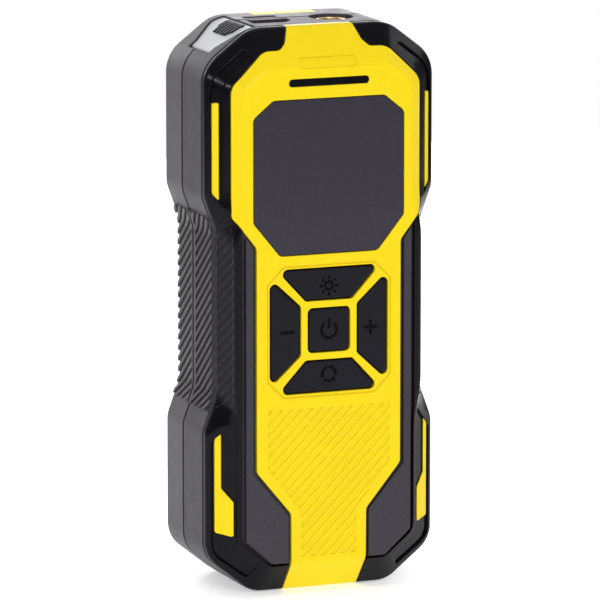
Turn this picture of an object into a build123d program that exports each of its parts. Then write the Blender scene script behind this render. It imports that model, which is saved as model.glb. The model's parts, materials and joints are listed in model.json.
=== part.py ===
from build123d import *
import os

# Inspection-camera handset. It stands on its bottom end: X across, +Y to the back, +Z up,
# with the origin at the middle of the bottom end. Millimetres.

# ---- driving dimensions ----
height = 186.8
half_width = 40.0
half_waist = 35.6
depth = 48.0
front_y = -depth / 2
back_y = depth / 2
parting_y = 5.0
front_bevel = 9.0
back_bevel = 4.0
wall = 2.2
panel_skin = 1.8
bumper_skin = 3.0
channel_depth = 0.9
accent_sink = 0.35
accent_bottom = 2.2
face_soft = 0.8
face_soft_out = 0.3
face_soft_depth = 0.5
bumper_gap = 1.8
parting_gap = 0.7
shell_skin = 5.5
fit_gap = 0.25
keypad_z = 87.6
key_travel = 0.8
waist_top = 125.0
waist_bottom = 61.0

bevel_y = front_y + front_bevel
rear_edge_y = back_y - back_bevel
inside_front_y = front_y + shell_skin
board_front_y = -13.4
board_thickness = 1.6
board_back_y = board_front_y + board_thickness
top_inside_z = height - wall

# ---- outlines: corners of the right-hand half, top to bottom, as (x, z, radius) ----
case_corners = [
    (24.0, height, 13), (half_width, 174.6, 12), (half_width, 131.9, 9), (half_waist, 119.9, 9),
    (half_waist, 66.4, 9), (half_width, 54.4, 9), (half_width, 12.8, 10.6), (24.0, 0, 10),
]
face_corners = [
    (21.2, 174.9, 7), (29.8, 168.2, 7), (29.8, 131.9, 40), (32.4, 119.9, 40),
    (32.4, 66.4, 40), (29.8, 54.4, 40), (29.8, 18.6, 6), (20.0, 10.4, 6),
]
panel_corners = [
    (10.6, height + 2, 0), (13.3, 181.8, 2), (15.6, 179.6, 2.6), (21.5, 179.6, 6), (32.9, 168.5, 6),
    (32.9, 125.9, 3), (25.2, 115.9, 3), (25.2, 41.7, 3), (13.2, 27.1, 3), (13.0, -2, 0),
]
bumper_inner_corners = [
    (10.9, height + 2, 0), (13.6, 181.9, 2), (15.7, 179.9, 2.6), (21.6, 179.9, 6), (33.2, 168.6, 6),
    (33.2, 125.8, 3), (30.2, 121.8, 2), (30.2, 18.3, 5), (20.2, 9.9, 4), (13.5, 9.9, 0.8),
    (13.3, -2, 0),
]
cheek_corners = [
    (28.6, 119.1), (28.9, 118.5), (28.9, 18.9), (19.9, 10.8), (14.2, 10.8), (14.2, 26.7), (26.5, 41.2), (26.5, 116.2),
]
name_plate_corners = [(14.0, 170.6, 1.2), (14.0, 168.0, 1.2)]
brow_corners = [(9.6, 177.2, 0.5), (9.6, 173.8, 0.5)]
window_corners = [(19.5, 164.0, 2.5), (26.45, 158.3, 2.5), (26.45, 124.15, 2.5), (17.1, 112.7, 2.5)]
keypad_corners = [(15.9, 109.2, 1.5), (21.5, 103.6, 1.5), (21.5, 71.5, 1.5), (15.9, 65.9, 1.5)]
rear_panel_corners = [
    (11.0, height + 2, 0), (11.0, 182.0, 2), (14.0, 179.0, 2), (21.5, 179.0, 4), (28.0, 172.5, 4),
    (28.0, 130.0, 3), (24.5, 124.0, 3), (24.5, 13.0, 3), (21.0, 8.0, 3),
]

# ---- places of the parts ----
key_near = 9.7
key_far = 20.8
key_near_half = 8.2
key_far_half = 18.5
power_size = 15.0
glyph_depth = 0.45
socket_x = 10.7
socket_y = 1.2
socket_opening_r = 7.5
socket_outer_r = 5.15
socket_bore_r = 4.0
socket_top_z = height - 0.8
socket_floor_z = 178.0
shelf_top_z = 183.0
shelf_bottom_z = 181.0
port_board_y = 6.0
lcd_z = 140.0
lcd_size = (59.6, 42.4)
lcd_front_y = inside_front_y + 0.8
lcd_back_y = -15.2
bay_half = 15.6
bay_bottom_z = 13.0
bay_top_z = 118.0
bay_front_y = 6.0
cell_r = 7.1
cell_length = 50.0
cell_y = 13.3
door_half = 18.5
door_bottom_z = 10.0
door_top_z = 121.0
door_skin = 2.0
case_screw_places = [(-32.5, 165.5), (32.5, 165.5), (-33.0, 31.0), (33.0, 31.0)]
board_screw_places = [(x, z) for z in (22.0, 113.5, 168.5) for x in (-24.0, 24.0)]

os.makedirs("parts", exist_ok=True)


# ---- shared shapes ----
def facing(y):
    """Upright plane at depth y, seen from the front: local x is X and local y is Z."""
    return Plane(origin=(0, y, 0), x_dir=(1, 0, 0), z_dir=(0, -1, 0))


def mirrored(corners):
    """The whole outline from its right-hand half."""
    return corners + [(-corner[0], *corner[1:]) for corner in reversed(corners)]


def rounded_outline(corners, inset=0.0, mode=Mode.ADD):
    """Face with a rounding at each corner, drawn in by inset."""
    with BuildLine(Plane.XY) as outline:
        FilletPolyline(*[corner[:2] for corner in corners], radius=[corner[2] for corner in corners], close=True)
    with BuildSketch(Plane.XY) as face:
        make_face(outline.edges())
        if inset:
            offset(amount=-inset, mode=Mode.REPLACE)
    add(face.sketch, mode=mode)


def prism(corners, y_front, y_back, inset=0.0):
    """Solid of an outline between two depths."""
    with BuildPart() as solid:
        with BuildSketch(facing(y_back)):
            rounded_outline(corners, inset)
        extrude(amount=y_back - y_front)
    return solid.part


side_start_y = bevel_y + 0.9
front_sections = [
    (face_corners, front_y, face_soft), (face_corners, front_y + face_soft_depth, -face_soft_out),
    (case_corners, bevel_y - 0.7, 0.45), (case_corners, bevel_y + 0.1, 0.12), (case_corners, side_start_y, 0.0),
]


def front_form(set_back=0.0, inset=0.0):
    """Outer form of the front half: flat face, bevel with soft edges, and side walls up to the parting line."""
    with BuildPart() as form:
        for corners, y, drawn_in in front_sections:
            with BuildSketch(facing(y + set_back)):
                rounded_outline(mirrored(corners), inset + drawn_in)
        loft(ruled=True)
        with BuildSketch(facing(parting_y)):
            rounded_outline(mirrored(case_corners), inset)
        extrude(amount=parting_y - side_start_y - set_back)
    return form.part


def rear_form(set_in=0.0, inset=0.0, from_y=parting_y):
    """Outer form of the rear half: side walls and a small bevel round the flat back."""
    with BuildPart() as form:
        with BuildSketch(facing(rear_edge_y - set_in)):
            rounded_outline(mirrored(case_corners), inset)
        with BuildSketch(facing(back_y - set_in)):
            rounded_outline(mirrored(case_corners), inset + back_bevel)
        loft(ruled=True)
        with BuildSketch(facing(rear_edge_y - set_in)):
            rounded_outline(mirrored(case_corners), inset)
        extrude(amount=rear_edge_y - set_in - from_y)
    return form.part


front_solid = front_form()
front_under_panel = front_form(set_back=panel_skin)
front_under_bumper = front_form(set_back=bumper_skin)
accent_surface = front_form(set_back=accent_sink)
rear_solid = rear_form()
rear_under_panel = rear_form(set_in=panel_skin)


def sunk(corners, y_back, under, inset=0.0):
    """Everything in front of the form called under, inside an outline: a pocket of even depth."""
    with BuildPart() as pocket:
        with BuildSketch(facing(y_back)):
            rounded_outline(corners, inset)
        extrude(amount=y_back - front_y + 1)
        add(under, mode=Mode.SUBTRACT)
    return pocket.part


# ---- grip ribs: slanted bars round both sides of the waist, with a plain strip at the parting line ----
rib_pitch = 3.55
rib_width = 1.6
rib_gap = rib_pitch - rib_width
rib_height = 0.8
rib_rise = 0.85
rib_count = 29
rib_lowest = waist_bottom - 10 * rib_pitch
front_strip = 2.4
rear_strip = 1.3


def slanted_bar(y_front, y_back, low, width):
    """Corners of one bar that climbs towards the front, as (y, z)."""
    climb = (y_back - y_front) * rib_rise
    return [(y_back, low), (y_front, low + climb), (y_front, low + climb + width), (y_back, low + width)]


def side_ribs(y_front, y_back, strip):
    """Ribs on both sides between two depths, joined by a plain strip, given as (front, back)."""
    with BuildPart() as ribs:
        with BuildSketch(Plane.YZ.offset(-half_width)):
            for index in range(rib_count):
                Polygon(*slanted_bar(bevel_y, rear_edge_y, rib_lowest + index * rib_pitch, rib_width), align=None)
            with Locations(((strip[0] + strip[1]) / 2, (waist_top + waist_bottom) / 2)):
                Rectangle(strip[1] - strip[0], waist_top - waist_bottom)
        extrude(amount=2 * half_width)
        with BuildSketch(facing(y_back)):
            rounded_outline(mirrored(case_corners), -rib_height)
            rounded_outline(mirrored(case_corners), 0.6, mode=Mode.SUBTRACT)
            with Locations((0, (waist_top + waist_bottom) / 2)):
                Rectangle(2 * half_width, waist_top - waist_bottom, mode=Mode.INTERSECT)
        extrude(amount=y_back - y_front, mode=Mode.INTERSECT)
    return ribs.part


front_ribs = side_ribs(side_start_y + bumper_gap + 0.2, parting_y, (parting_y - front_strip, parting_y))
rear_ribs = side_ribs(parting_y, rear_edge_y - 0.5, (parting_y, parting_y + rear_strip))


# ---- keys and their openings, drawn about the keypad centre ----
def key_face(is_power, grow):
    """Outline of a key opening: a square for power, a trapezoid above the centre for the rest."""
    with BuildSketch() as face:
        if is_power:
            Rectangle(power_size, power_size)
        else:
            Polygon(
                (-key_near_half, key_near), (key_near_half, key_near),
                (key_far_half, key_far), (-key_far_half, key_far), align=None,
            )
        fillet(face.vertices(), 1.8)
        offset(amount=grow)
    return face.sketch


key_turns = {"light_button": 0, "plus_button": -90, "rotate_button": 180, "minus_button": 90, "power_button": None}


def key_solid(name, grow, y_front, y_back):
    """One key outline between two depths."""
    turn = key_turns[name]
    with BuildPart() as solid:
        with BuildSketch(facing(y_back)):
            with Locations(Location((0, keypad_z, 0), (0, 0, turn or 0))):
                add(key_face(turn is None, grow))
        extrude(amount=y_back - y_front)
    return solid.part


def block(x, y, z):
    """Box between two values along each axis."""
    with BuildPart() as solid:
        with Locations(((x[0] + x[1]) / 2, (y[0] + y[1]) / 2, (z[0] + z[1]) / 2)):
            Box(x[1] - x[0], y[1] - y[0], z[1] - z[0])
    return solid.part


def rods(places, radius, y_front, y_back):
    """Round bars along Y at each (x, z)."""
    with BuildPart() as solid:
        with BuildSketch(facing(y_back)):
            with Locations(*places):
                Circle(radius)
        extrude(amount=y_back - y_front)
    return solid.part


def save(piece, name):
    """Label a finished piece and write its STEP file."""
    piece.label = name
    export_step(piece, f"parts/{name}.step")


# ---- flap seat, shared by both shells, the flap and its pad ----
flap_start = Vector(-35.1, 178.3)
chamfer_along = Vector(0.795, 0.606)
chamfer_out = Vector(-0.606, 0.795)
flap_end_x = -21.0
flap_front_y = -11.6
flap_back_y = 16.0
flap_low_front_y = -6.4
flap_low_back_y = 11.0
flap_flare_start = 3.0
flap_flare_end = 12.0
flap_swing_room = 0.5
flap_sink = 0.5
flap_thickness = 1.3
hinge_r = 1.3
pin_r = 0.75
hinge_at = flap_start + chamfer_along * 1.4 - chamfer_out * 1.8
chamfer_plane = Plane(
    origin=(flap_start.X, 0, flap_start.Y), x_dir=(chamfer_along.X, 0, chamfer_along.Y),
    z_dir=(chamfer_out.X, 0, chamfer_out.Y),
)


def flap_outline(grow, shift=0.0):
    """Flap seen along its normal, as (distance up the chamfer, y): it flares from its hinge end."""
    start = flap_flare_start - shift
    end = flap_flare_end - shift
    front_half = [(-8, flap_low_front_y - grow), (start, flap_low_front_y - grow), (end, flap_front_y - grow)]
    back_half = [(end, flap_back_y + grow), (start, flap_low_back_y + grow), (-8, flap_low_back_y + grow)]
    return front_half + [(40, flap_front_y - grow), (40, flap_back_y + grow)] + back_half


def corner_skin(outer, inner, start, end_x, outline):
    """Layer of the case between two depths below its surface, over the top-left corner, inside an outline."""
    low = flap_start + chamfer_along * start
    with BuildPart() as layer:
        with BuildSketch(facing(rear_edge_y)):
            rounded_outline(mirrored(case_corners), outer)
            rounded_outline(mirrored(case_corners), inner, mode=Mode.SUBTRACT)
            Polygon(
                tuple(low + chamfer_out * 4)[:2], tuple(low - chamfer_out * 8)[:2],
                (end_x, 176.0), (end_x, height + 4), align=None, mode=Mode.INTERSECT,
            )
        extrude(amount=rear_edge_y - bevel_y)
        with BuildSketch(chamfer_plane):
            Polygon(*outline, align=None)
        extrude(amount=15, both=True, mode=Mode.INTERSECT)
    return layer.part


def hinge_rod(radius, y_front, y_back):
    """Round bar along the flap's hinge line."""
    return rods([tuple(hinge_at)[:2]], radius, y_front, y_back)


flap_pocket = corner_skin(
    -2, flap_sink + flap_thickness + 0.4, -0.6, flap_end_x + 0.3, flap_outline(0.3, flap_swing_room),
)
flap_seat = corner_skin(wall - 0.3, 5.2, -4.0, flap_end_x + 2.4, flap_outline(1.8))
hinge_pocket = hinge_rod(hinge_r + 0.35, flap_low_front_y - 0.3, flap_low_back_y + 0.3)
pin_bore = hinge_rod(pin_r, flap_low_front_y - 1.4, flap_low_back_y + 1.4)

# ---- openings in the top end ----
with BuildPart() as top_openings:
    with BuildSketch(Plane.XY.offset(top_inside_z - 0.3)):
        with Locations((socket_x, socket_y)):
            Circle(socket_opening_r)
        Polygon((-19.0, -5.8), (-8.0, -5.8), (-4.5, -2.2), (-4.5, 2.0), (-19.0, 2.0), align=None)
        with Locations((-11.4, 9.0)):
            SlotOverall(12.2, 3.6)
    extrude(amount=wall + 2)

# ---- video jack under the flap, and the seal between the shells ----
jack_mouth = flap_start + chamfer_along * 6.3 - chamfer_out * (flap_sink + flap_thickness + 0.4)
jack_plane = Plane(origin=(jack_mouth.X, 0, jack_mouth.Y), z_dir=(chamfer_out.X, 0, chamfer_out.Y))
with BuildPart() as jack_outline:
    with BuildSketch(jack_plane):
        Circle(2.9)
    extrude(amount=-4)
    with BuildSketch(jack_plane.offset(-4)):
        Rectangle(5.8, 5.8)
    extrude(amount=-7)
jack_body = jack_outline.part
seal_ring = prism(mirrored(case_corners), parting_y - 0.8, parting_y + 0.6, inset=0.8)
seal_ring -= prism(mirrored(case_corners), parting_y - 1, parting_y + 1, inset=1.5)
seal_ring -= block((-50, 50), (0, 10), (160, 200))
parting_groove = prism(mirrored(case_corners), parting_y - parting_gap, parting_y + parting_gap, inset=-1.2)
parting_groove -= prism(mirrored(case_corners), parting_y - 1, parting_y + 1, inset=parting_gap)
front_flap_seat = flap_seat & block((-50, 50), (-20, parting_y), (150, 200))
rear_flap_seat = flap_seat & block((-50, 50), (parting_y, 22), (150, 200))

# ---- front shell ----
panel_recess = sunk(mirrored(bumper_inner_corners), -10, front_under_panel)
with BuildPart() as bumper_pocket:
    with BuildSketch(facing(side_start_y + bumper_gap)):
        Rectangle(4 * half_width, 3 * height)
        rounded_outline(mirrored(bumper_inner_corners), mode=Mode.SUBTRACT)
    extrude(amount=front_bevel + 4)
    add(front_under_bumper, mode=Mode.SUBTRACT)
with BuildPart() as cheeks:
    with BuildSketch(facing(bevel_y)):
        Polygon(*cheek_corners, align=None)
        mirror(about=Plane.YZ)
    extrude(amount=front_bevel + 1)
    add(front_solid, mode=Mode.INTERSECT)
front_cavity = front_form(set_back=shell_skin, inset=wall)

with BuildPart() as front_shell:
    add(front_solid)
    add(bumper_pocket.part, mode=Mode.SUBTRACT)
    add(panel_recess, mode=Mode.SUBTRACT)
    add(cheeks.part)
    add(front_cavity, mode=Mode.SUBTRACT)
    add(front_ribs)
    add(rods(case_screw_places, 3.5, bevel_y - 2, parting_y) & front_under_bumper)
    add(rods(board_screw_places, 2.4, inside_front_y - 0.5, board_front_y))
    add(block((1.6, 19.8), (bevel_y + 2, 9.4), (shelf_bottom_z, shelf_top_z)))
    with BuildSketch(Plane.XY.offset(shelf_top_z)):
        with Locations((socket_x, socket_y)):
            Circle(socket_opening_r + 1.3)
            Circle(socket_opening_r, mode=Mode.SUBTRACT)
    extrude(amount=top_inside_z - shelf_top_z - 0.15)
    with Locations((socket_x, socket_y, shelf_bottom_z)):
        Cylinder(socket_outer_r, 8, mode=Mode.SUBTRACT)
    add(front_flap_seat)
    add(flap_pocket, mode=Mode.SUBTRACT)
    add(hinge_pocket, mode=Mode.SUBTRACT)
    add(pin_bore, mode=Mode.SUBTRACT)
    add(jack_body, mode=Mode.SUBTRACT)
    add(seal_ring, mode=Mode.SUBTRACT)
    add(parting_groove, mode=Mode.SUBTRACT)
    add(rods(case_screw_places, 1.45, -12, parting_y), mode=Mode.SUBTRACT)
    add(rods(board_screw_places, 0.9, inside_front_y, board_front_y), mode=Mode.SUBTRACT)
    add(top_openings.part, mode=Mode.SUBTRACT)
    for name in key_turns:
        add(key_solid(name, 0, front_y, inside_front_y + 0.1), mode=Mode.SUBTRACT)
    add(block((-25, 25), (front_y, inside_front_y + 0.1), (lcd_z - 19, lcd_z + 19)), mode=Mode.SUBTRACT)
    add(block((-30.1, 30.1), (lcd_front_y - 0.1, bevel_y), (lcd_z - 21.5, lcd_z + 21.5)), mode=Mode.SUBTRACT)
save(front_shell.part, "front_shell")

# ---- front panel ----
hatch_pitch = 2.52
hatch_depth = 0.3
name_plate_back_y = front_y + 0.7
with BuildPart() as front_panel:
    with BuildSketch(facing(bevel_y + 4)):
        rounded_outline(mirrored(panel_corners))
    extrude(amount=front_bevel + 5)
    add(front_solid, mode=Mode.INTERSECT)
    add(front_under_panel, mode=Mode.SUBTRACT)
    add(prism(mirrored(window_corners), front_y - 1, front_y + 3), mode=Mode.SUBTRACT)
    for name in key_turns:
        add(key_solid(name, 0, front_y - 1, front_y + 3), mode=Mode.SUBTRACT)
    with BuildSketch(facing(front_y + hatch_depth)):
        with Locations(Location((0, 38, 0), (0, 0, -45))):
            with GridLocations(hatch_pitch, 0, 26, 1):
                Rectangle(hatch_pitch / 2, 110)
        Polygon(
            (21.3, 61.9), (21.3, 42.6), (9.6, 27.6), (9.6, 12.6),
            (-9.6, 12.6), (-9.6, 27.6), (-21.3, 42.6), (-21.3, 61.9), align=None, mode=Mode.INTERSECT,
        )
    extrude(amount=2, mode=Mode.SUBTRACT)
    with BuildSketch(facing(front_y + hatch_depth)):
        rounded_outline(mirrored(keypad_corners), -0.25)
        rounded_outline(mirrored(keypad_corners), 0.25, mode=Mode.SUBTRACT)
    extrude(amount=2, mode=Mode.SUBTRACT)
    add(prism(mirrored(name_plate_corners), front_y, name_plate_back_y), mode=Mode.SUBTRACT)
    add(sunk(mirrored(brow_corners), -10, accent_surface), mode=Mode.SUBTRACT)
save(front_panel.part, "front_panel")
save(prism(mirrored(name_plate_corners), front_y + 0.1, name_plate_back_y, inset=0.1), "name_plate")

# ---- bumpers and their accents ----
upper_channel = [
    (35.2, 129.3, 0.5), (38.5, 134.0, 1), (38.5, 171.6, 9), (27.0, 180.4, 0.8), (25.0, 178.0, 0.8), (35.2, 169.2, 6),
]
lower_channel = [
    (31.6, 59.6, 0.5), (38.4, 51.4, 2), (38.4, 14.2, 7), (26.6, 5.4, 0.8), (24.2, 9.2, 0.8), (31.6, 18.6, 4),
]
upper_accent = [(36.0, 131.2, 0.3), (38.0, 133.4, 0.3), (38.0, 163.2, 0.5), (36.0, 163.6, 0.5)]
lower_accent = [
    (35.6, 54.9, 0.3), (37.5, 52.8, 0.3), (37.5, 21.4, 0.8), (32.3, 20.2, 0.8), (32.3, 32.0, 0.6), (35.6, 36.4, 0.6),
]
waist_groove_x = 33.0
front_under_channel = front_form(set_back=channel_depth)
front_under_accent = front_form(set_back=accent_bottom)
with BuildPart() as waist_grooves:
    with BuildSketch(Plane.YZ.offset(waist_groove_x)):
        for index in range(rib_count):
            Polygon(*slanted_bar(front_y, rear_edge_y, rib_lowest + index * rib_pitch, rib_gap), align=None)
        with Locations((bevel_y, (waist_top + waist_bottom) / 2)):
            Rectangle(2 * front_bevel, waist_top - waist_bottom - 4, mode=Mode.INTERSECT)
    extrude(amount=half_width)
    add(accent_surface, mode=Mode.SUBTRACT)
with BuildPart() as right_bumper:
    add(bumper_pocket.part)
    add(block((-50, 50), (-30, side_start_y), (-5, height + 5)), mode=Mode.INTERSECT)
    add(front_solid, mode=Mode.INTERSECT)
    add(front_under_bumper, mode=Mode.SUBTRACT)
    split(bisect_by=Plane.YZ)
    add(waist_grooves.part, mode=Mode.SUBTRACT)
    for corners in (upper_channel, lower_channel):
        add(sunk(corners, -10, front_under_channel), mode=Mode.SUBTRACT)
    for corners in (upper_accent, lower_accent):
        add(sunk(corners, -10, front_under_accent), mode=Mode.SUBTRACT)
save(right_bumper.part, "right_bumper")
with BuildPart() as left_bumper:
    add(right_bumper.part)
    mirror(about=Plane.YZ, mode=Mode.REPLACE)
save(left_bumper.part, "left_bumper")
for place, corners in (("upper", upper_accent), ("lower", lower_accent)):
    with BuildPart() as right_accent:
        add(sunk(corners, -10, front_under_accent, inset=0.12))
        add(accent_surface, mode=Mode.INTERSECT)
    save(right_accent.part, f"right_{place}_accent")
    with BuildPart() as left_accent:
        add(right_accent.part)
        mirror(about=Plane.YZ, mode=Mode.REPLACE)
    save(left_accent.part, f"left_{place}_accent")

# ---- display ----
window_back_y = front_y + panel_skin
with BuildPart() as display_window:
    add(prism(mirrored(window_corners), front_y + 0.2, window_back_y, inset=fit_gap))
save(display_window.part, "display_window")


def frame_ring(outer, inner, y_front, y_back, centre_z):
    """Rectangular ring, with outer and inner given as (width, height)."""
    with BuildPart() as ring:
        with BuildSketch(facing(y_back)):
            with Locations((0, centre_z)):
                Rectangle(*outer)
                Rectangle(*inner, mode=Mode.SUBTRACT)
        extrude(amount=y_back - y_front)
    return ring.part


save(frame_ring((53, 42), (50.4, 38.4), inside_front_y, lcd_front_y, lcd_z), "display_gasket")
with BuildPart() as lcd_module:
    with BuildSketch(facing(lcd_back_y)):
        with Locations((0, lcd_z)):
            RectangleRounded(*lcd_size, 1)
    extrude(amount=lcd_back_y - lcd_front_y)
    with BuildSketch(facing(lcd_front_y + 0.3)):
        with Locations((0, lcd_z)):
            Rectangle(49, 36.8)
    extrude(amount=1, mode=Mode.SUBTRACT)
save(lcd_module.part, "lcd_module")
save(frame_ring(lcd_size, (52, 35), lcd_back_y, board_front_y, lcd_z), "lcd_holder")

# ---- main board, switches and keys ----
with BuildPart() as main_board:
    with BuildSketch(facing(board_back_y)):
        with Locations((0, 94)):
            RectangleRounded(54, 156, 2)
        with Locations(*board_screw_places):
            Circle(1.1, mode=Mode.SUBTRACT)
    extrude(amount=board_thickness)
    with BuildSketch(facing(board_back_y)):
        with Locations((0, 130), (-14, 100)):
            Rectangle(14, 14)
        with Locations((12, 104), (-16, 60), (15, 60), (8, 44)):
            Rectangle(7, 5)
    extrude(amount=-1.4)
save(main_board.part, "main_board")

key_centre_offset = 14.6
switch_places = [(0, keypad_z)]
switch_places += [(0, keypad_z + key_centre_offset), (0, keypad_z - key_centre_offset)]
switch_places += [(key_centre_offset, keypad_z), (-key_centre_offset, keypad_z)]
switch_top_y = board_front_y - 2.1
with BuildPart() as tact_switches:
    with BuildSketch(facing(board_front_y)):
        with Locations(*switch_places):
            Rectangle(6, 6)
    extrude(amount=1.6)
    with BuildSketch(facing(board_front_y - 1.6)):
        with Locations(*switch_places):
            Circle(1.7)
    extrude(amount=0.5)
save(tact_switches.part, "tact_switches")

key_edge_r = 1.0
flange_front_y = inside_front_y + 0.2
flange_back_y = flange_front_y + 1.2
stem_back_y = switch_top_y - key_travel - 0.1


def key_glyph(name):
    """Generic symbol on a key, about the key's own centre."""
    with BuildSketch() as glyph:
        if name == "power_button":
            Circle(3.15)
            Circle(2.15, mode=Mode.SUBTRACT)
            with Locations((0, 3)):
                Rectangle(2.8, 3, mode=Mode.SUBTRACT)
            with Locations((0, 2.2)):
                Rectangle(1.0, 3.4)
        elif name == "light_button":
            Circle(1.75)
            Circle(0.95, mode=Mode.SUBTRACT)
            with PolarLocations(2.75, 8):
                Rectangle(1.2, 0.8)
        elif name == "rotate_button":
            Circle(2.85)
            Circle(1.8, mode=Mode.SUBTRACT)
            with PolarLocations(2.3, 3, 90):
                Rectangle(1.8, 1.1, mode=Mode.SUBTRACT)
            with PolarLocations(2.3, 3, 72):
                RegularPolygon(1.1, 3)
        else:
            Rectangle(4.8, 1.1)
            if name == "plus_button":
                Rectangle(1.1, 4.8)
    return glyph.sketch


for name, turn in key_turns.items():
    reach = Vector(0, 0 if turn is None else key_centre_offset).rotate(Axis.Z, turn or 0)
    with BuildPart() as key:
        add(key_solid(name, -fit_gap, front_y + 0.1, flange_front_y))
        fillet(key.edges().group_by(Axis.Y)[0], key_edge_r)
        add(key_solid(name, 0.8, flange_front_y, flange_back_y))
        add(rods([(reach.X, keypad_z + reach.Y)], 2.4, flange_back_y, stem_back_y))
        with BuildSketch(facing(front_y + 0.1 + glyph_depth)):
            with Locations((reach.X, keypad_z + reach.Y)):
                add(key_glyph(name))
        extrude(amount=1, mode=Mode.SUBTRACT)
    save(key.part, name)

# ---- camera-lead socket ----
with BuildPart() as camera_socket:
    with BuildSketch(Plane.XZ):
        with BuildLine():
            Polyline(
                (socket_bore_r, socket_floor_z), (socket_bore_r, socket_top_z - 0.3),
                (socket_bore_r + 0.3, socket_top_z), (socket_outer_r - 0.3, socket_top_z),
                (socket_outer_r, socket_top_z - 0.3), (socket_outer_r, shelf_top_z + 1.2), (7.0, shelf_top_z + 1.2),
                (7.0, shelf_top_z), (socket_outer_r, shelf_top_z), (socket_outer_r, 176.5), (3.4, 176.5),
                (3.4, socket_floor_z), close=True,
            )
        make_face()
    revolve(axis=Axis.Z)
camera_socket_piece = Pos(socket_x, socket_y, 0) * camera_socket.part
save(camera_socket_piece, "camera_socket")


def ring(outer, inner, z_low, z_high):
    """Ring on the socket's axis."""
    with BuildPart() as solid:
        with BuildSketch(Plane.XY.offset(z_low)):
            with Locations((socket_x, socket_y)):
                Circle(outer)
                Circle(inner, mode=Mode.SUBTRACT)
        extrude(amount=z_high - z_low)
    return solid.part


save(ring(7.4, socket_outer_r, shelf_top_z + 1.2, shelf_top_z + 1.9), "socket_seal")
save(ring(3.4, 0.8, 176.5, socket_floor_z), "socket_insulator")
save(ring(0.8, 0.4, 174.5, socket_floor_z), "socket_contact")
save(ring(7.2, socket_outer_r, shelf_bottom_z - 0.6, shelf_bottom_z), "socket_washer")
with BuildPart() as socket_nut:
    with BuildSketch(Plane.XY.offset(shelf_bottom_z - 3.2)):
        with Locations((socket_x, socket_y)):
            RegularPolygon(7.0, 6, major_radius=False)
            Circle(socket_outer_r, mode=Mode.SUBTRACT)
    extrude(amount=2.6)
save(socket_nut.part, "socket_nut")

# ---- port board with its sockets ----
port_centre_x = -11.7
port_board_back_y = port_board_y + board_thickness
port_top_z = top_inside_z - 0.35
with BuildPart() as port_board:
    with BuildSketch(facing(port_board_back_y)):
        with Locations((-14.5, 163)):
            RectangleRounded(23, 26, 1)
        with Locations((-22.5, 154), (-6.5, 154)):
            Circle(1.1, mode=Mode.SUBTRACT)
    extrude(amount=board_thickness)
save(port_board.part, "port_board")
with BuildPart() as data_port:
    add(block((port_centre_x - 6.6, port_centre_x + 6.6), (-3.9, 1.7), (172.0, port_top_z)))
    add(block((port_centre_x - 4.5, port_centre_x + 4.5), (1.7, port_board_y), (172.0, 175.8)))
    add(block((port_centre_x - 6.1, port_centre_x + 6.1), (-3.4, 1.2), (174.5, port_top_z + 1)), mode=Mode.SUBTRACT)
    add(block((port_centre_x - 5.2, port_centre_x + 5.2), (-0.4, 1.2), (174.4, port_top_z - 0.6)))
save(data_port.part, "data_port")
with BuildPart() as card_slot:
    add(block((-18.2, -4.6), (port_board_back_y, port_board_back_y + 2.4), (162.0, port_top_z)))
    add(block((-17.1, -5.7), (8.4, 9.5), (171.0, port_top_z + 1)), mode=Mode.SUBTRACT)
save(card_slot.part, "card_slot")
with BuildPart() as video_jack:
    add(jack_body)
    with BuildSketch(jack_plane):
        Circle(1.8)
    extrude(amount=-9, mode=Mode.SUBTRACT)
save(video_jack.part, "video_jack")
ribbon_x = (-20.0, -8.0)
ribbon_z = 158.5
with BuildPart() as ribbon_cable:
    add(block(ribbon_x, (board_back_y + 2.0, port_board_y - 2.0), (ribbon_z - 0.2, ribbon_z + 0.2)))
    for y in ((board_back_y, board_back_y + 2.0), (port_board_y - 2.0, port_board_y)):
        add(block((ribbon_x[0] - 1, ribbon_x[1] + 1), y, (ribbon_z - 2, ribbon_z + 2)))
save(ribbon_cable.part, "ribbon_cable")

# ---- flap, its pad and pin ----
with BuildPart() as flap_blank:
    add(corner_skin(flap_sink, flap_sink + flap_thickness, 1.4, flap_end_x, flap_outline(0)))
    add(hinge_rod(hinge_r, flap_low_front_y, flap_low_back_y))
flap_pad_outline = [(8.2, -3.1), (10.6, -6.3), (18.0, -5.0), (18.0, 8.8), (10.5, 7.9), (8.2, 7.9)]
flap_pad_blank = corner_skin(0.02, flap_sink + 0.3, 5.2, flap_end_x - 1.2, flap_pad_outline)
with BuildPart() as port_flap:
    add(flap_blank.part)
    add(flap_pad_blank, mode=Mode.SUBTRACT)
    add(hinge_rod(pin_r + 0.05, flap_low_front_y - 3, flap_low_back_y + 3), mode=Mode.SUBTRACT)
save(port_flap.part, "port_flap")
with BuildPart() as flap_grip_pad:
    add(flap_pad_blank)
    for groove_y in (-4.1, -1.8, 0.5, 2.8, 5.1, 7.4):
        add(
            block((-36, flap_end_x - 2.2), (groove_y - 0.55, groove_y + 0.55), (170, height + 1))
            - prism(mirrored(case_corners), -20, 22, inset=0.5),
            mode=Mode.SUBTRACT,
        )
save(flap_grip_pad.part, "flap_grip_pad")
save(hinge_rod(pin_r, flap_low_front_y - 1.2, flap_low_back_y + 1.2), "flap_hinge_pin")

# ---- rear shell ----
door_hinge_y = 21.5
door_hinge_z = 12.5
door_barrel_r = 2.5
door_pin_r = 0.6
door_pin_half = door_half + 2.4


def cross_rod(radius, half_length):
    """Round bar along X on the battery door's hinge line."""
    with BuildPart() as solid:
        with BuildSketch(Plane.YZ.offset(-half_length)):
            with Locations((door_hinge_y, door_hinge_z)):
                Circle(radius)
        extrude(amount=2 * half_length)
    return solid.part


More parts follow.
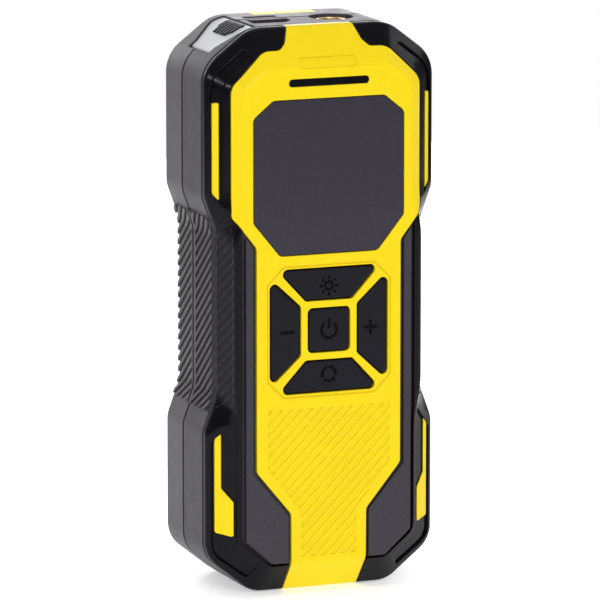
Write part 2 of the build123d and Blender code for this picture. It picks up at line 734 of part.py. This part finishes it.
def door_plate(grow, y_front, y_back):
    """Door outline between two depths, with rounded upper corners."""
    with BuildPart() as plate:
        with BuildSketch(facing(y_back)):
            with Locations((0, (door_bottom_z + door_top_z) / 2)):
                RectangleRounded(2 * door_half + 2 * grow, door_top_z - door_bottom_z + 2 * grow, 3 + grow)
        extrude(amount=y_back - y_front)
    return plate.part


door_swing_room = cross_rod(door_barrel_r + 0.3, door_half + 0.3)
door_swing_room += block(
    (-door_half - 0.3, door_half + 0.3), (door_hinge_y, back_y + 1), (door_bottom_z - 0.3, door_hinge_z + 1),
)
panel_tab_y = 14.5
panel_tab_z = height - 1.4
rear_recess = prism(mirrored(rear_panel_corners), 10, back_y + 1, inset=-0.15) - rear_under_panel
rear_recess += block((-11.15, 11.15), (panel_tab_y - 0.15, back_y + 1), (panel_tab_z, height + 1))
rear_cavity = rear_form(set_in=panel_skin + wall, inset=wall, from_y=parting_y - 1)
bay_outer = block((-bay_half - 1.6, bay_half + 1.6), (bay_front_y - 0.9, 20.5), (bay_bottom_z - 1.6, bay_top_z + 1.6))
bay_inner = block((-bay_half, bay_half), (bay_front_y, back_y + 1), (bay_bottom_z, bay_top_z))
latch_slot = block((-4.6, 4.6), (20.3, 22.0), (bay_top_z - 1, door_top_z + 2.2))
rear_screw_posts = rods(case_screw_places, 3.9, parting_y, 21)
door_seal_outer = (2 * bay_half + 3.6, 102.6)
door_seal_inner = (2 * bay_half + 1.2, 100.2)
door_seal = frame_ring(door_seal_outer, door_seal_inner, 21.3, 21.9, 66.9) - block((-7, 7), (20, 23), (114, 122))
with BuildPart() as rear_shell:
    add(rear_solid)
    add(rear_cavity, mode=Mode.SUBTRACT)
    add(rear_ribs)
    add(bay_outer)
    add(block((-door_half - 3.6, door_half + 3.6), (17.6, 20.5), (7.8, 16.6)))
    add(rear_screw_posts)
    add(rods([(-22.5, 154), (-6.5, 154)], 2.2, port_board_back_y, 21))
    add(rear_flap_seat)
    add(rear_recess, mode=Mode.SUBTRACT)
    add(bay_inner, mode=Mode.SUBTRACT)
    add(door_plate(0.3, 21.9, back_y + 1), mode=Mode.SUBTRACT)
    add(door_swing_room, mode=Mode.SUBTRACT)
    add(cross_rod(door_pin_r, door_pin_half), mode=Mode.SUBTRACT)
    add(latch_slot, mode=Mode.SUBTRACT)
    add(door_seal, mode=Mode.SUBTRACT)
    add(seal_ring, mode=Mode.SUBTRACT)
    add(parting_groove, mode=Mode.SUBTRACT)
    add(rods(case_screw_places, 1.6, parting_y, back_y), mode=Mode.SUBTRACT)
    add(rods(case_screw_places, 3.1, 18.6, back_y + 1), mode=Mode.SUBTRACT)
    add(rods([(-22.5, 154), (-6.5, 154)], 0.9, port_board_back_y, 16), mode=Mode.SUBTRACT)
    add(top_openings.part, mode=Mode.SUBTRACT)
    add(flap_pocket, mode=Mode.SUBTRACT)
    add(hinge_pocket, mode=Mode.SUBTRACT)
    add(pin_bore, mode=Mode.SUBTRACT)
save(rear_shell.part, "rear_shell")

with BuildPart() as rear_panel:
    add(prism(mirrored(rear_panel_corners), 10, back_y + 1) - rear_under_panel)
    add(block((-11, 11), (panel_tab_y, back_y), (panel_tab_z, height)))
    add(rear_solid, mode=Mode.INTERSECT)
    add(door_plate(0.3, 20, back_y + 1), mode=Mode.SUBTRACT)
    add(door_swing_room, mode=Mode.SUBTRACT)
save(rear_panel.part, "rear_panel")

# ---- battery door ----
latch_travel = 2.5
latch_front_y = 20.6
latch_neck_y = 21.8
with BuildPart() as battery_door:
    add(door_plate(0, 22.0, back_y))
    add(block((-30, 30), (20, 26), (0, door_hinge_z)), mode=Mode.SUBTRACT)
    add(cross_rod(door_barrel_r, door_half))
    add(cross_rod(door_pin_r + 0.05, door_half + 1), mode=Mode.SUBTRACT)
    add(block((-6.4, 6.4), (21.0, back_y + 1), (107.8, 117.6)), mode=Mode.SUBTRACT)
    with BuildSketch(facing(back_y - 0.5)):
        with GridLocations(0, 5, 1, 12):
            with Locations((0, 62)):
                SlotOverall(26, 1.6)
    extrude(amount=-1, mode=Mode.SUBTRACT)
save(battery_door.part, "battery_door")
with BuildPart() as battery_door_latch:
    add(block((-6.1, 6.1), (latch_neck_y, back_y - 0.1), (110.6, 117.3)))
    add(block((-7.6, 7.6), (latch_front_y, latch_neck_y), (109.6, 116.6)))
    add(block((-4.2, 4.2), (latch_front_y, latch_neck_y), (116.6, door_top_z + 1.9)))
    for index in range(3):
        add(block((-4.6, 4.6), (back_y - 0.6, back_y + 1), (112.0 + 1.6 * index, 112.8 + 1.6 * index)), mode=Mode.SUBTRACT)
save(battery_door_latch.part, "battery_door_latch")
save(cross_rod(door_pin_r, door_pin_half), "battery_door_pin")
save(door_seal, "battery_door_seal")

# ---- batteries ----
cell_places = [(-7.6, 16.0), (7.6, 16.0), (-7.6, 66.6), (7.6, 66.6)]
with BuildPart() as battery_cells:
    for x, z in cell_places:
        with BuildSketch(Plane.XY.offset(z)):
            with Locations((x, cell_y)):
                Circle(cell_r)
        extrude(amount=cell_length - 0.9)
        with BuildSketch(Plane.XY.offset(z + cell_length - 0.9)):
            with Locations((x, cell_y)):
                Circle(2.7)
        extrude(amount=0.9)
save(battery_cells.part, "battery_cells")
with BuildPart() as battery_springs:
    for x in (-7.6, 7.6):
        with BuildSketch(Plane.XY.offset(bay_bottom_z + 0.3)):
            with Locations((x, cell_y)):
                Circle(4.2)
        with BuildSketch(Plane.XY.offset(16.0)):
            with Locations((x, cell_y)):
                Circle(2.6)
        loft()
save(battery_springs.part, "battery_springs")
with BuildPart() as battery_contacts:
    for x in (-7.6, 7.6):
        add(block((x - 5.5, x + 5.5), (cell_y - 5, cell_y + 5), (bay_bottom_z, bay_bottom_z + 0.3)))
        add(block((x - 5.5, x + 5.5), (cell_y - 5, cell_y + 5), (116.8, bay_top_z)))
save(battery_contacts.part, "battery_contacts")

# ---- seals and screws ----
save(seal_ring, "case_seal")


def pan_screws(places, head_r, shank_r, y_head_top, y_head_under, y_tip):
    """Screws along Y with cross-recessed heads towards the back."""
    with BuildPart() as screws:
        add(rods(places, head_r, y_head_under, y_head_top))
        add(rods(places, shank_r, y_tip, y_head_under))
        with BuildSketch(facing(y_head_top - 1.0)):
            with Locations(*places):
                Rectangle(head_r * 1.1, 0.7)
                Rectangle(0.7, head_r * 1.1)
        extrude(amount=-2, mode=Mode.SUBTRACT)
    return screws.part


save(pan_screws(case_screw_places, 2.8, 1.45, 20.8, 18.6, -10), "case_screws")
save(pan_screws(board_screw_places, 1.9, 0.9, board_back_y + 1.4, board_back_y, -17.5), "board_screws")
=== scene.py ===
import json
import math

import bpy
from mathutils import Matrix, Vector


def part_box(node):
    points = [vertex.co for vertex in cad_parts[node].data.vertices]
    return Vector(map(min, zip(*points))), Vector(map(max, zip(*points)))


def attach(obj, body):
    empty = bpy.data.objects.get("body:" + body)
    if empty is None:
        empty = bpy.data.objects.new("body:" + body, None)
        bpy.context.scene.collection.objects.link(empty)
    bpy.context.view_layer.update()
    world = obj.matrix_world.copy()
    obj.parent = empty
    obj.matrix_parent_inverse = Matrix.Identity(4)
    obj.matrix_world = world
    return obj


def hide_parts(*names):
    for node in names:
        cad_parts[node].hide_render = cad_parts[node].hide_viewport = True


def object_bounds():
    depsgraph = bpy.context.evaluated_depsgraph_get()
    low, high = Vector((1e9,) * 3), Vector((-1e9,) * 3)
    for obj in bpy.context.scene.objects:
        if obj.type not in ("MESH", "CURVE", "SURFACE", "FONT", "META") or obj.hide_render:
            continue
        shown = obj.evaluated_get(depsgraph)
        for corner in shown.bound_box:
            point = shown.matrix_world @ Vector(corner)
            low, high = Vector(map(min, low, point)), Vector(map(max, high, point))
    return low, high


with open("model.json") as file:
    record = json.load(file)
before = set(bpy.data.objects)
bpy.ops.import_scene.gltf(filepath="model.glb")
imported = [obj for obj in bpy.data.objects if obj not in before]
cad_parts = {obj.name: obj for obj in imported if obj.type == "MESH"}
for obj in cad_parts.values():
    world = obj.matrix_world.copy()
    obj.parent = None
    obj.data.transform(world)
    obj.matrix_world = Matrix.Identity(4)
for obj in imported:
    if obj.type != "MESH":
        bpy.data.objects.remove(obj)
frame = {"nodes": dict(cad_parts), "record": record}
cad_low, cad_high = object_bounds()
nodes = frame["nodes"]
scene = bpy.context.scene
MM = 0.001


# ---- node helpers ----
def map_range(tree, value, from_low, from_high, low, high):
    """Node that carries value from one range to another, held at both ends."""
    node = tree.nodes.new("ShaderNodeMapRange")
    tree.links.new(value, node.inputs["Value"])
    numbers = {"From Min": from_low, "From Max": from_high, "To Min": low, "To Max": high}
    for key, number in numbers.items():
        node.inputs[key].default_value = number
    return node.outputs[0]


class Shader:
    """Builds one node material."""

    def __init__(self, name):
        self.material = bpy.data.materials.new(name)
        self.material.use_nodes = True
        self.tree = self.material.node_tree
        self.bsdf = self.tree.nodes["Principled BSDF"]
        self.place = self.add("ShaderNodeTexCoord").outputs["Object"]

    def add(self, kind, **values):
        """New node; values set its input sockets by name, or its own settings."""
        node = self.tree.nodes.new(kind)
        for key, value in values.items():
            if hasattr(node, key):
                setattr(node, key, value)
            else:
                node.inputs[key.replace("_", " ")].default_value = value
        return node

    def link(self, source, target):
        self.tree.links.new(source, target)

    def set(self, **values):
        for key, value in values.items():
            self.bsdf.inputs[key.replace("_", " ")].default_value = value

    def noise(self, scale, detail, roughness=0.55):
        node = self.add("ShaderNodeTexNoise", Scale=scale, Detail=detail, Roughness=roughness)
        self.link(self.place, node.inputs["Vector"])
        return node.outputs["Fac"]

    def cells(self, scale):
        """Distance from the nearest cell centre: a leather-like pattern."""
        node = self.add("ShaderNodeTexVoronoi", Scale=scale)
        self.link(self.place, node.inputs["Vector"])
        return node.outputs["Distance"]

    def band(self, low, high):
        """1 where the depth along Y is between low and high."""
        split = self.add("ShaderNodeSeparateXYZ")
        self.link(self.place, split.inputs[0])
        above = self.math("GREATER_THAN", split.outputs["Y"], low)
        return self.math("MULTIPLY", above, self.math("LESS_THAN", split.outputs["Y"], high))

    def math(self, operation, first, second):
        node = self.add("ShaderNodeMath", operation=operation)
        for socket, value in zip(node.inputs, (first, second)):
            if isinstance(value, (int, float)):
                socket.default_value = value
            else:
                self.link(value, socket)
        return node.outputs[0]

    def spread(self, value, low, high, from_low=0.3, from_high=0.7):
        """value carried to low..high; by default from the middle of a noise's range."""
        return map_range(self.tree, value, from_low, from_high, low, high)

    def mix(self, factor, first, second):
        node = self.add("ShaderNodeMix", data_type="RGBA")
        self.link(factor, node.inputs["Factor"])
        colour_a, colour_b = [s for s in node.inputs if s.type == "RGBA"]
        for socket, value in ((colour_a, first), (colour_b, second)):
            if isinstance(value, tuple):
                socket.default_value = (*value, 1)
            else:
                self.link(value, socket)
        return [s for s in node.outputs if s.type == "RGBA"][0]

    def edge_normal(self, radius):
        """Normal with edges rounded by radius, so that edges catch light."""
        node = self.add("ShaderNodeBevel", samples=6)
        node.inputs["Radius"].default_value = radius
        return node.outputs[0]

    def edges(self, normal):
        """0 on flat faces, towards 1 along edges."""
        geometry = self.add("ShaderNodeNewGeometry")
        dot = self.add("ShaderNodeVectorMath", operation="DOT_PRODUCT")
        self.link(geometry.outputs["Normal"], dot.inputs[0])
        self.link(normal, dot.inputs[1])
        return self.spread(dot.outputs["Value"], 1, 0, 0.8, 1.0)

    def bump(self, height, strength, distance, normal):
        node = self.add("ShaderNodeBump", Strength=strength, Distance=distance)
        self.link(height, node.inputs["Height"])
        self.link(normal, node.inputs["Normal"])
        return node.outputs[0]


# Texture scales are in waves per metre.
DRIFT_SCALE = 45
GLOSS_SCALE = 160
GLOSS_SPREAD = 0.05
GRAIN_DEPTH = 0.05 * MM
PIT_SPACING = 1.7
# The next number darkens pit centres as painted shade.
PIT_PAINTED_SHADE = 0.72
# The next two numbers lighten the colour along edges as a painted highlight; the third lowers edge
# roughness.
HIGHLIGHT_GAIN = 1.25
HIGHLIGHT_LIFT = 0.004
POLISH_SMOOTHING = 0.08


def moulded(
    name, colour, roughness, grain=0.0, grain_size=0.5, edge=0.35, tint=0.06, edge_highlight=0.25,
    specular=0.5, pits=0.0, mask=None,
):
    """Moulded plastic: fine spark grain (pits, when set, darkened with painted shade), slow colour and
    roughness drift, edges smoother in roughness and lighter in colour as a painted highlight.

    Sizes are in millimetres. mask is a (low, high, colour) band of depth along Y.
    """
    s = Shader(name)
    drift = s.noise(DRIFT_SCALE, 4)
    fine = s.noise(1 / (grain_size * MM), 2, 0.6)
    rounded = s.edge_normal(edge * MM)
    edge_polish_and_highlight = s.edges(rounded)
    darker = tuple(c * (1 - tint) for c in colour)
    lighter = tuple(min(1, c * (1 + tint)) for c in colour)
    base = s.mix(s.spread(drift, 0, 1), darker, lighter)
    if pits:
        cells = s.cells(1 / (grain_size * PIT_SPACING * MM))
        fine = s.math("ADD", s.math("MULTIPLY", cells, pits), fine)
        # Pit centres are darkened as painted shade in the pits; their depth comes from the bump.
        pit_painted_shade = tuple(c * PIT_PAINTED_SHADE for c in colour)
        base = s.mix(s.spread(cells, 0, 1, 0.0, 0.5), pit_painted_shade, base)
    # Edges are mixed towards a lighter colour: a painted highlight along every edge. The lower edge
    # roughness below is real polish.
    edge_highlight_colour = tuple(min(1, c * HIGHLIGHT_GAIN + HIGHLIGHT_LIFT) for c in colour)
    base = s.mix(s.math("MULTIPLY", edge_polish_and_highlight, edge_highlight), base, edge_highlight_colour)
    if mask:
        base = s.mix(s.band(mask[0] * MM, mask[1] * MM), base, mask[2])
    s.link(base, s.bsdf.inputs["Base Color"])
    gloss = s.noise(GLOSS_SCALE, 5, 0.7)
    rough = s.spread(gloss, roughness - GLOSS_SPREAD, roughness + GLOSS_SPREAD)
    smoothing = s.math("MULTIPLY", edge_polish_and_highlight, POLISH_SMOOTHING)
    s.link(s.math("SUBTRACT", rough, smoothing), s.bsdf.inputs["Roughness"])
    s.set(Specular_IOR_Level=specular)
    s.link(s.bump(fine, grain, GRAIN_DEPTH, rounded), s.bsdf.inputs["Normal"])
    return s.material


TARNISH_SCALE = 300
TARNISH_SHADE = 0.8
SMEAR_SCALE = 900
TOOL_MARK_SCALE = 2500
TOOL_MARK_DEPTH = 0.02 * MM
METAL_EDGE = 0.15 * MM


def metal(name, colour, roughness):
    """Turned or plated metal with fine tool marks and tarnish."""
    s = Shader(name)
    s.set(Metallic=1.0)
    rounded = s.edge_normal(METAL_EDGE)
    drift = s.noise(TARNISH_SCALE, 4)
    tarnished = tuple(c * TARNISH_SHADE for c in colour)
    s.link(s.mix(s.spread(drift, 0, 1), tarnished, colour), s.bsdf.inputs["Base Color"])
    smears = s.spread(s.noise(SMEAR_SCALE, 3), roughness - 0.08, roughness + 0.1)
    s.link(smears, s.bsdf.inputs["Roughness"])
    tool_marks = s.noise(TOOL_MARK_SCALE, 2)
    s.link(s.bump(tool_marks, 0.15, TOOL_MARK_DEPTH, rounded), s.bsdf.inputs["Normal"])
    return s.material


CELL_PITCH = 50.6 * MM
FIRST_CELL_Z = 16.0 * MM
COPPER_SHARE = 0.24
SLEEVE_EDGE = 0.4 * MM
FILM_SCALE = 1400
FILM_DEPTH = 0.02 * MM


def battery_sleeve():
    """Dark film sleeve with a copper-coloured band round the top of each cell."""
    s = Shader("battery_sleeve")
    split = s.add("ShaderNodeSeparateXYZ")
    s.link(s.place, split.inputs[0])
    along = s.math("DIVIDE", s.math("SUBTRACT", split.outputs["Z"], FIRST_CELL_Z), CELL_PITCH)
    on_band = s.math("GREATER_THAN", s.math("FRACT", along, 0.0), 1 - COPPER_SHARE)
    sleeve = s.mix(s.spread(s.noise(60, 4), 0, 1), (0.012, 0.012, 0.014), (0.020, 0.020, 0.023))
    copper = s.mix(s.spread(s.noise(90, 4), 0, 1), (0.52, 0.24, 0.08), (0.62, 0.30, 0.11))
    s.link(s.mix(on_band, sleeve, copper), s.bsdf.inputs["Base Color"])
    s.link(s.spread(s.noise(300, 4), 0.22, 0.34), s.bsdf.inputs["Roughness"])
    film = s.bump(s.noise(FILM_SCALE, 3), 0.1, FILM_DEPTH, s.edge_normal(SLEEVE_EDGE))
    s.link(film, s.bsdf.inputs["Normal"])
    return s.material


YELLOW = (0.92, 0.69, 0.006)
ICON_BAND = (-23.72, -23.3, (0.0012, 0.0012, 0.0014))
looks = {
    "case_plastic": moulded(
        "case_plastic", (0.047, 0.043, 0.055), 0.48, grain=0.5, grain_size=0.45, edge=0.5, specular=0.22,
        pits=0.8),
    "panel_plastic": moulded(
        "panel_plastic", YELLOW, 0.40, grain=0.12, grain_size=0.4, tint=0.015, edge_highlight=0.12, specular=0.18),
    "bumper_plastic": moulded(
        "bumper_plastic", (0.0040, 0.0038, 0.0055), 0.15, grain=0.04, edge=0.5, specular=0.13),
    "flap_plastic": moulded("flap_plastic", (0.56, 0.565, 0.61), 0.40, grain=0.2),
    "key_rubber": moulded(
        "key_rubber", (0.0120, 0.0112, 0.0160), 0.46, grain=0.35, grain_size=0.3, edge=0.6, specular=0.10,
        mask=ICON_BAND),
    "seal_rubber": moulded("seal_rubber", (0.004, 0.004, 0.0042), 0.7, grain=0.3, specular=0.2),
    "window": moulded("window", (0.030, 0.0265, 0.040), 0.26, tint=0.03, edge_highlight=0.1, specular=0.3),
    "brass": metal("brass", (0.80, 0.54, 0.22), 0.26),
    "steel": metal("steel", (0.60, 0.60, 0.61), 0.32),
    "board": moulded("board", (0.02, 0.16, 0.06), 0.4, grain=0.2),
    "inner_plastic": moulded("inner_plastic", (0.02, 0.02, 0.022), 0.5, grain=0.3),
    "display": moulded("display", (0.03, 0.032, 0.04), 0.3, grain=0.1),
    "cell_sleeve": battery_sleeve(),
    "ribbon": moulded("ribbon", (0.50, 0.28, 0.06), 0.35, grain=0.1),
}
# The rear shell gets a lighter copy of the case plastic: painted light, standing in for the back-left
# light that brightens the rear band.
node_looks = {
    "rear_shell": moulded(
        "case_plastic_painted_lit_rear", (0.062, 0.057, 0.068), 0.45, grain=0.5, grain_size=0.45, edge=0.5,
        specular=0.3, pits=0.8),
}
for entry in frame["record"]["subparts"]:
    look = node_looks.get(entry["node"], looks[entry["material_slot"]])
    for material_slot in nodes[entry["node"]].material_slots:
        material_slot.material = look


# ---- wound pieces: thread on the lead socket, springs under the cells ----
STEPS_PER_TURN = 40


def wound(name, centre, radii, heights, turns, wire, slot, sides=8):
    """Tube of radius wire along a helix whose radius and height run between two values each."""
    steps = int(turns * STEPS_PER_TURN)
    points = []
    for step in range(steps + 1):
        part = step / steps
        angle = 2 * math.pi * turns * part
        out = Vector((math.cos(angle), math.sin(angle), 0))
        middle_point = centre + out * (radii[0] + (radii[1] - radii[0]) * part)
        middle_point.z = heights[0] + (heights[1] - heights[0]) * part
        for side in range(sides):
            turn = 2 * math.pi * side / sides
            around = out * math.cos(turn) + Vector((0, 0, math.sin(turn)))
            points.append(middle_point + around * wire)
    faces = [tuple(reversed(range(sides))), tuple(range(steps * sides, (steps + 1) * sides))]
    for step in range(steps):
        for side in range(sides):
            near = step * sides + side
            far = step * sides + (side + 1) % sides
            faces.append((near, far, far + sides, near + sides))
    mesh = bpy.data.meshes.new(name)
    mesh.from_pydata(points, [], faces)
    mesh.polygons.foreach_set("use_smooth", [len(face) == 4 for face in faces])
    mesh.materials.append(looks[slot])
    piece = bpy.data.objects.new(name, mesh)
    scene.collection.objects.link(piece)
    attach(piece, "handset")
    return piece


socket_low, socket_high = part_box("camera_socket")
seal_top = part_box("socket_seal")[1].z
socket_centre = (socket_low + socket_high) / 2
SOCKET_BARREL_R = 5.15 * MM
THREAD_WIRE = 0.14 * MM
THREAD_TURNS = 1.8
THREAD_START = 0.15 * MM
THREAD_RUNOUT = 0.5 * MM
wound(
    "socket_thread", socket_centre, (SOCKET_BARREL_R, SOCKET_BARREL_R),
    (seal_top + THREAD_START, socket_high.z - THREAD_RUNOUT),
    THREAD_TURNS, THREAD_WIRE, "brass", sides=6)
spring_low, spring_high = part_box("battery_springs")
SPRING_R = 4.2 * MM
SPRING_TIP_R = 2.6 * MM
SPRING_WIRE = 0.35 * MM
SPRING_TURNS = 4.0
spring_y = (spring_low.y + spring_high.y) / 2
spring_places = {"left": spring_low.x + SPRING_R, "right": spring_high.x - SPRING_R}
for side_name, spring_x in spring_places.items():
    spring = wound(
        "battery_spring_" + side_name, Vector((spring_x, spring_y, 0)),
        (SPRING_R - SPRING_WIRE, SPRING_TIP_R - SPRING_WIRE),
        (spring_low.z + SPRING_WIRE, spring_high.z - SPRING_WIRE),
        SPRING_TURNS, SPRING_WIRE, "steel")
    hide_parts("battery_springs")


# ---- floor, lights and camera ----
FLOOR_HALF = 0.85
FLOOR_DROP = 0.0002
floor_mesh = bpy.data.meshes.new("floor")
floor_corners = [(-1, -1), (1, -1), (1, 1), (-1, 1)]
floor_mesh.from_pydata(
    [(x * FLOOR_HALF, y * FLOOR_HALF, cad_low.z - FLOOR_DROP) for x, y in floor_corners],
    [], [(0, 1, 2, 3)])
floor = bpy.data.objects.new("floor", floor_mesh)
scene.collection.objects.link(floor)
floor_look = Shader("floor")
floor_look.set(
    Base_Color=(0.9, 0.9, 0.9, 1), Roughness=0.6, Emission_Color=(1, 1, 1, 1), Emission_Strength=0.45)
floor_mesh.materials.append(floor_look.material)

world = bpy.data.worlds.new("studio")
world.use_nodes = True
scene.world = world
# each is from_low, from_high, low, high
WORLD_BY_DEPTH = (-0.2, 0.9, 0.10, 0.50)
WORLD_BY_HEIGHT = (0.2, 0.9, 0.0, 0.30)


def light_the_world():
    """White for the camera; as light on the object, dim in front, bright behind and above."""
    tree = world.node_tree
    background = tree.nodes["Background"]
    background.inputs["Color"].default_value = (1, 1, 1, 1)
    direction = tree.nodes.new("ShaderNodeTexCoord").outputs["Generated"]
    split = tree.nodes.new("ShaderNodeSeparateXYZ")
    tree.links.new(direction, split.inputs[0])
    total = tree.nodes.new("ShaderNodeMath")
    total.operation = "ADD"
    for index, (axis, ranges) in enumerate((("Y", WORLD_BY_DEPTH), ("Z", WORLD_BY_HEIGHT))):
        part = map_range(tree, split.outputs[axis], *ranges)
        tree.links.new(part, total.inputs[index])
    seen = tree.nodes.new("ShaderNodeLightPath").outputs["Is Camera Ray"]
    strength = tree.nodes.new("ShaderNodeMath")
    strength.operation = "MAXIMUM"
    tree.links.new(total.outputs[0], strength.inputs[0])
    tree.links.new(seen, strength.inputs[1])
    tree.links.new(strength.outputs[0], background.inputs["Strength"])


def towards(azimuth, elevation):
    """Unit vector from the object towards a viewer or light at these angles, in degrees."""
    a, e = math.radians(azimuth), math.radians(elevation)
    return Vector((math.sin(a) * math.cos(e), -math.cos(a) * math.cos(e), math.sin(e)))


light_the_world()
middle = (cad_low + cad_high) / 2


def softbox(name, azimuth, elevation, distance, size, power):
    """Area light aimed at the middle of the object."""
    light = bpy.data.lights.new(name, "AREA")
    light.shape = "RECTANGLE"
    light.size, light.size_y = size
    light.energy = power
    back = towards(azimuth, elevation)
    holder = bpy.data.objects.new(name, light)
    holder.location = middle + back * distance
    holder.rotation_mode = "QUATERNION"
    holder.rotation_quaternion = (-back).to_track_quat("-Z", "Y")
    holder.visible_camera = False
    scene.collection.objects.link(holder)


softbox("key_light", -6, 26, 1.2, (0.7, 0.4), 5.0)
softbox("top_light", 30, 80, 1.2, (0.5, 0.5), 2.0)
softbox("back_light", 172, 13, 1.2, (0.9, 0.4), 4.7)
softbox("rim_light", -150, 24, 1.1, (0.3, 0.9), 2.0)
softbox("left_strip", -78, 48, 1.2, (0.05, 0.7), 1.2)
softbox("gleam_light", -58, 15, 1.2, (0.40, 0.06), 1.5)
softbox("right_light", 75, 25, 1.2, (0.3, 0.8), 2.0)

LENS = 355.9
CLIP_END = 100
VIEW_AZIMUTH = -21.73
VIEW_ELEVATION = 10.37
VIEW_DISTANCE = 1.932
VIEW_AIM = Vector((-0.0088, -0.0205, 0.0974))
camera_data = bpy.data.cameras.new("camera")
camera_data.lens = LENS
camera_data.clip_end = CLIP_END
camera = bpy.data.objects.new("camera", camera_data)
camera.rotation_mode = "QUATERNION"
view_back = towards(VIEW_AZIMUTH, VIEW_ELEVATION)
camera.location = VIEW_AIM + view_back * VIEW_DISTANCE
camera.rotation_quaternion = (-view_back).to_track_quat("-Z", "Y")
scene.collection.objects.link(camera)
scene.camera = camera
scene.view_settings.view_transform = "Standard"
